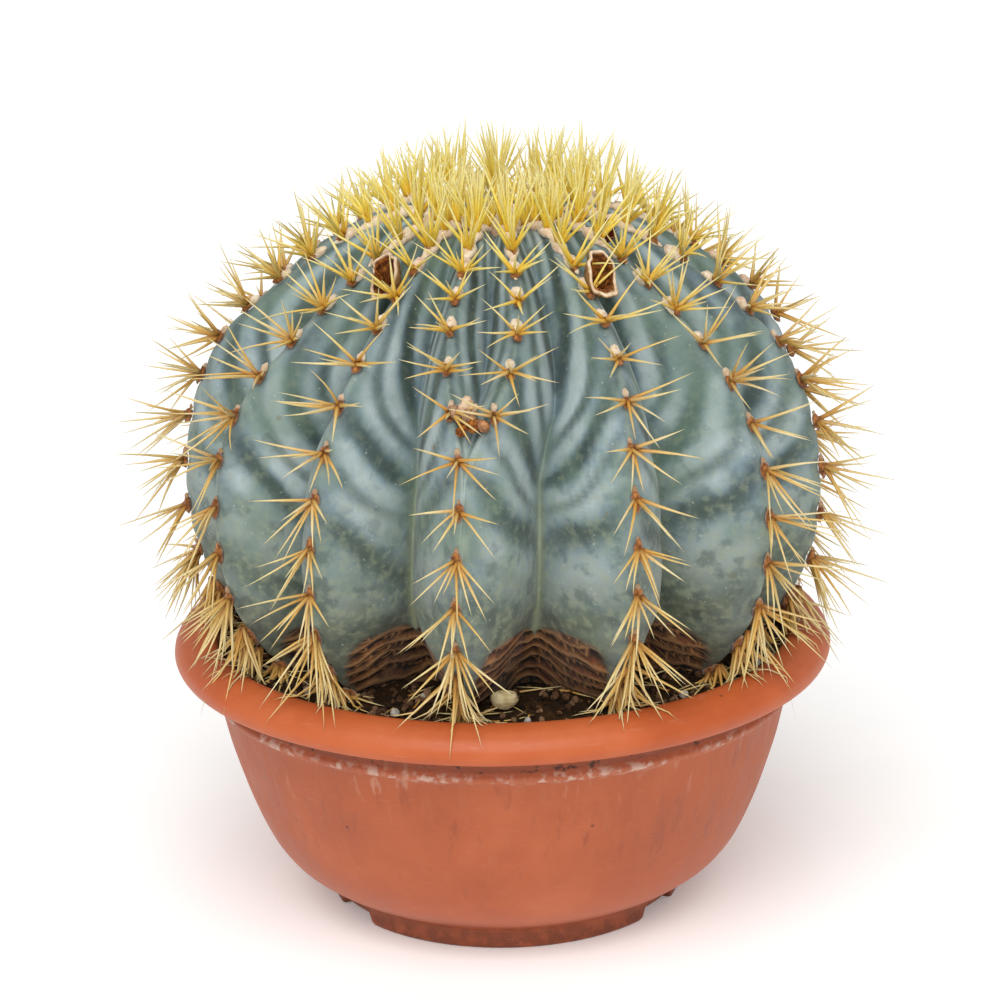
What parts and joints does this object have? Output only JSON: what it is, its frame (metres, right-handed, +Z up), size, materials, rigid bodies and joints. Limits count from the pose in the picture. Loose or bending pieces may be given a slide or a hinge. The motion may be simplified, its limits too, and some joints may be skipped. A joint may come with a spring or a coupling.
{
  "type": "potted round cactus",
  "caption": "Round ribbed cactus with rows of stiff yellow spines, growing in soil in a wide terracotta-coloured bowl.",
  "frame": {"origin": "the bowl's axis at the plane of its foot, which is where the object stands", "axes": "+Z up along the bowl's axis; -Y is the front, where the forked rib is; +X is to the right seen from the front"},
  "size_m": [0.3441, 0.3373, 0.3562],
  "materials": {
    "bowl_plastic": "terracotta-coloured moulded plastic, satin on the rim, with faint upright streaks, dust and lime marks under the rim",
    "potting_soil": "dark brown crumbly peat with bark fibre and pale crumbs, matt",
    "stem_skin": "blue-green waxy skin with a grey bloom, oblique growth folds, and brown cork at the base",
    "spine_horn": "golden yellow horn, orange-brown at the base and dull at the tip, on small pads of pale felt",
    "crown_felt": "dense cream felt with bright lemon-yellow young spines",
    "dried_skin": "dry, wrinkled brown fruit and flower remains",
    "pale_stone": "rough beige stone",
    "perlite_white": "porous off-white crumb"
  },
  "bodies": {
    "root": {"bowl": "bowl_plastic", "soil": "potting_soil", "cactus_stem": "stem_skin", "spine_row_01": "spine_horn", "spine_row_02": "spine_horn", "spine_row_03": "spine_horn", "spine_row_04": "spine_horn", "spine_row_05": "spine_horn", "spine_row_06": "spine_horn", "spine_row_07": "spine_horn", "spine_row_08": "spine_horn", "spine_row_09": "spine_horn", "spine_row_10": "spine_horn", "spine_row_11": "spine_horn", "spine_row_12": "spine_horn", "spine_row_13": "spine_horn", "spine_row_14": "spine_horn", "crown_wool": "crown_felt", "dried_fruit_left": "dried_skin", "dried_fruit_right": "dried_skin", "dried_bud_in_fork": "dried_skin", "dried_flower": "dried_skin", "stone": "pale_stone", "perlite_1": "perlite_white", "perlite_2": "perlite_white", "perlite_3": "perlite_white", "perlite_4": "perlite_white", "perlite_5": "perlite_white", "perlite_6": "perlite_white"}
  },
  "joints": []
}
